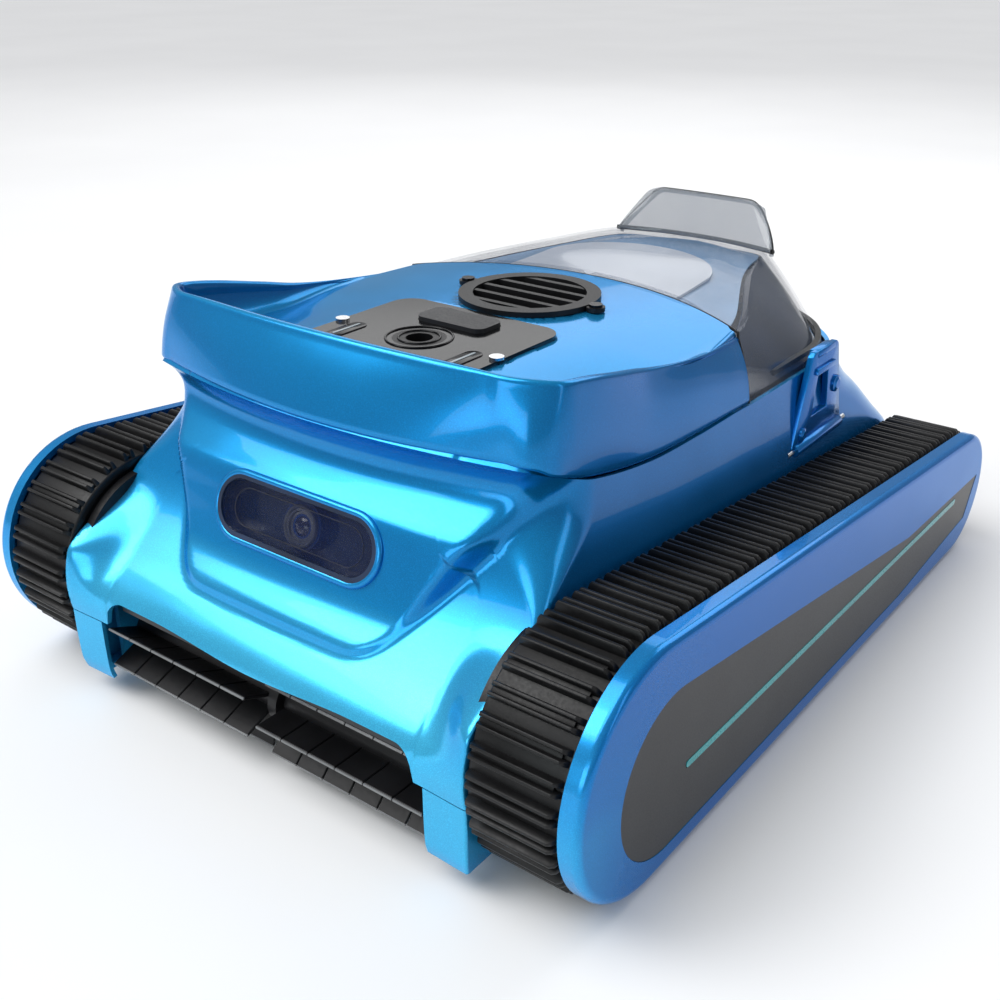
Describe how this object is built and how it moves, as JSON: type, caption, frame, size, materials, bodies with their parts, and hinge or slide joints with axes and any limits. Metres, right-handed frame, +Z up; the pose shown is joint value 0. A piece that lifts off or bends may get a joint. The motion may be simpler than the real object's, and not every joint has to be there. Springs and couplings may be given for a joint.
{
  "type": "robotic pool cleaner",
  "caption": "Tracked underwater cleaning robot with ridged rubber belts, a front roller brush, a pump hull, a control panel and a hinged clear filter cover.",
  "frame": {"origin": "on the floor under the middle of the overall length and width", "axes": "+Z up, -Y towards the roller brush, +X to the right of someone who faces the brush"},
  "size_m": [0.334, 0.4229, 0.1877],
  "materials": {
    "shell_blue": "pearl gloss paint over moulded plastic",
    "track_cover_blue": "pearl gloss paint over moulded plastic",
    "pan_blue": "pearl gloss paint over moulded plastic",
    "belt_rubber": "matte moulded rubber",
    "panel_black": "satin dark blue-black",
    "bezel_black": "satin black",
    "smoke_clear": "clear smoke-grey moulding",
    "grip_clear": "clear pale grey moulding",
    "accent_teal": "translucent teal",
    "black_plastic": "fine textured black",
    "filter_plastic": "fine textured dark grey",
    "grille_plastic": "satin dark",
    "button_plastic": "gloss dark",
    "steel": "stainless",
    "motor_can": "bare can",
    "window_glass": "dark blue tint",
    "lens_glass": "coated lens",
    "camera_plastic": "matte black",
    "brush_rubber": "matte moulded rubber",
    "seal_rubber": "matte rubber",
    "battery_wrap": "shrink wrap",
    "board_green": "solder mask",
    "contact_metal": "gold plated",
    "filter_mesh": "fine woven mesh"
  },
  "bodies": {
    "hull": {"battery_pack_left": "battery_wrap", "battery_pack_right": "battery_wrap", "body_shell": "shell_blue", "brush_bearing": "black_plastic", "camera_bezel": "bezel_black", "camera_lens": "lens_glass", "camera_module": "camera_plastic", "camera_window": "window_glass", "charging_contacts": "contact_metal", "charging_socket": "black_plastic", "chassis_pan": "pan_blue", "control_board": "board_green", "control_panel": "panel_black", "cover_hinge_pins": "steel", "cover_screws": "steel", "drive_motor_left": "motor_can", "drive_motor_right": "motor_can", "filter_basket": "filter_plastic", "filter_housing": "filter_plastic", "filter_screen": "filter_mesh", "flap_pin": "steel", "grille_screws": "steel", "latch_pins": "steel", "light_strip_left": "accent_teal", "light_strip_right": "accent_teal", "mouth_wiper": "seal_rubber", "outlet_grille": "grille_plastic", "pan_screws": "steel", "panel_screws": "steel", "pump_duct": "black_plastic", "pump_motor": "motor_can", "side_cover_left": "track_cover_blue", "side_cover_right": "track_cover_blue", "side_frame_left": "black_plastic", "side_frame_right": "black_plastic", "side_panel_left": "panel_black", "side_panel_right": "panel_black", "top_cover": "shell_blue", "track_belt_left": "belt_rubber", "track_belt_right": "belt_rubber", "wheel_pins": "steel"},
    "brush": {"brush_core": "black_plastic", "brush_blades_left": "brush_rubber", "brush_blades_right": "brush_rubber"},
    "pump_rotor": {"impeller": "black_plastic"},
    "drive_left": {"drive_wheel_left": "black_plastic", "drive_axle_left": "steel"},
    "drive_right": {"drive_wheel_right": "black_plastic", "drive_axle_right": "steel"},
    "idler_left": {"idler_wheel_left": "black_plastic"},
    "idler_right": {"idler_wheel_right": "black_plastic"},
    "roller_left": {"road_wheel_left": "black_plastic"},
    "roller_right": {"road_wheel_right": "black_plastic"},
    "cover": {"rear_cover": "smoke_clear", "cover_grip": "grip_clear", "cover_seal": "seal_rubber"},
    "latch_left": {"side_latch_left": "shell_blue"},
    "latch_right": {"side_latch_right": "shell_blue"},
    "button": {"mode_button": "button_plastic"},
    "flap": {"inlet_flap": "filter_plastic"}
  },
  "joints": [
    {"name": "brush_spin", "type": "hinge", "parent": "hull", "child": "brush", "pos_m": [0, -0.1818, 0.0275], "axis": [1, 0, 0], "continuous": true},
    {"name": "impeller_spin", "type": "hinge", "parent": "hull", "child": "pump_rotor", "pos_m": [0, -0.0105, 0.134], "axis": [0, 0, 1], "continuous": true},
    {"name": "drive_spin_left", "type": "hinge", "parent": "hull", "child": "drive_left", "pos_m": [-0.13775, -0.1585, 0.053], "axis": [1, 0, 0], "continuous": true},
    {"name": "idler_spin_left", "type": "hinge", "parent": "hull", "child": "idler_left", "pos_m": [-0.13775, 0.1755, 0.036], "axis": [1, 0, 0], "continuous": true},
    {"name": "roller_spin_left", "type": "hinge", "parent": "hull", "child": "roller_left", "pos_m": [-0.13775, 0.008, 0.0223], "axis": [1, 0, 0], "continuous": true},
    {"name": "drive_spin_right", "type": "hinge", "parent": "hull", "child": "drive_right", "pos_m": [0.13775, -0.1585, 0.053], "axis": [1, 0, 0], "continuous": true},
    {"name": "idler_spin_right", "type": "hinge", "parent": "hull", "child": "idler_right", "pos_m": [0.13775, 0.1755, 0.036], "axis": [1, 0, 0], "continuous": true},
    {"name": "roller_spin_right", "type": "hinge", "parent": "hull", "child": "roller_right", "pos_m": [0.13775, 0.008, 0.0223], "axis": [1, 0, 0], "continuous": true},
    {"name": "cover_hinge", "type": "hinge", "parent": "hull", "child": "cover", "pos_m": [0, 0.012, 0.159], "axis": [1, 0, 0], "range_deg": [0, 75]},
    {"name": "latch_hinge_right", "type": "hinge", "parent": "hull", "child": "latch_right", "pos_m": [0.1138, 0.084, 0.09], "axis": [0, 1, 0], "range_deg": [0, 75]},
    {"name": "latch_hinge_left", "type": "hinge", "parent": "hull", "child": "latch_left", "pos_m": [-0.1138, 0.084, 0.09], "axis": [0, -1, 0], "range_deg": [0, 75]},
    {"name": "mode_press", "type": "slide", "parent": "hull", "child": "button", "axis": [0, 0, -1], "range_m": [0, 0.0015], "stiffness_N_per_m": 600, "springref_m": -0.001},
    {"name": "flap_hinge", "type": "hinge", "parent": "hull", "child": "flap", "pos_m": [0, 0.068, 0.0203], "axis": [1, 0, 0], "range_deg": [0, 60]}
  ],
  "couplings": [
    {"joint": "idler_spin_left", "follows": "drive_spin_left", "ratio": 1.6137},
    {"joint": "roller_spin_left", "follows": "drive_spin_left", "ratio": 3.1929},
    {"joint": "idler_spin_right", "follows": "drive_spin_right", "ratio": 1.6137},
    {"joint": "roller_spin_right", "follows": "drive_spin_right", "ratio": 3.1929}
  ]
}
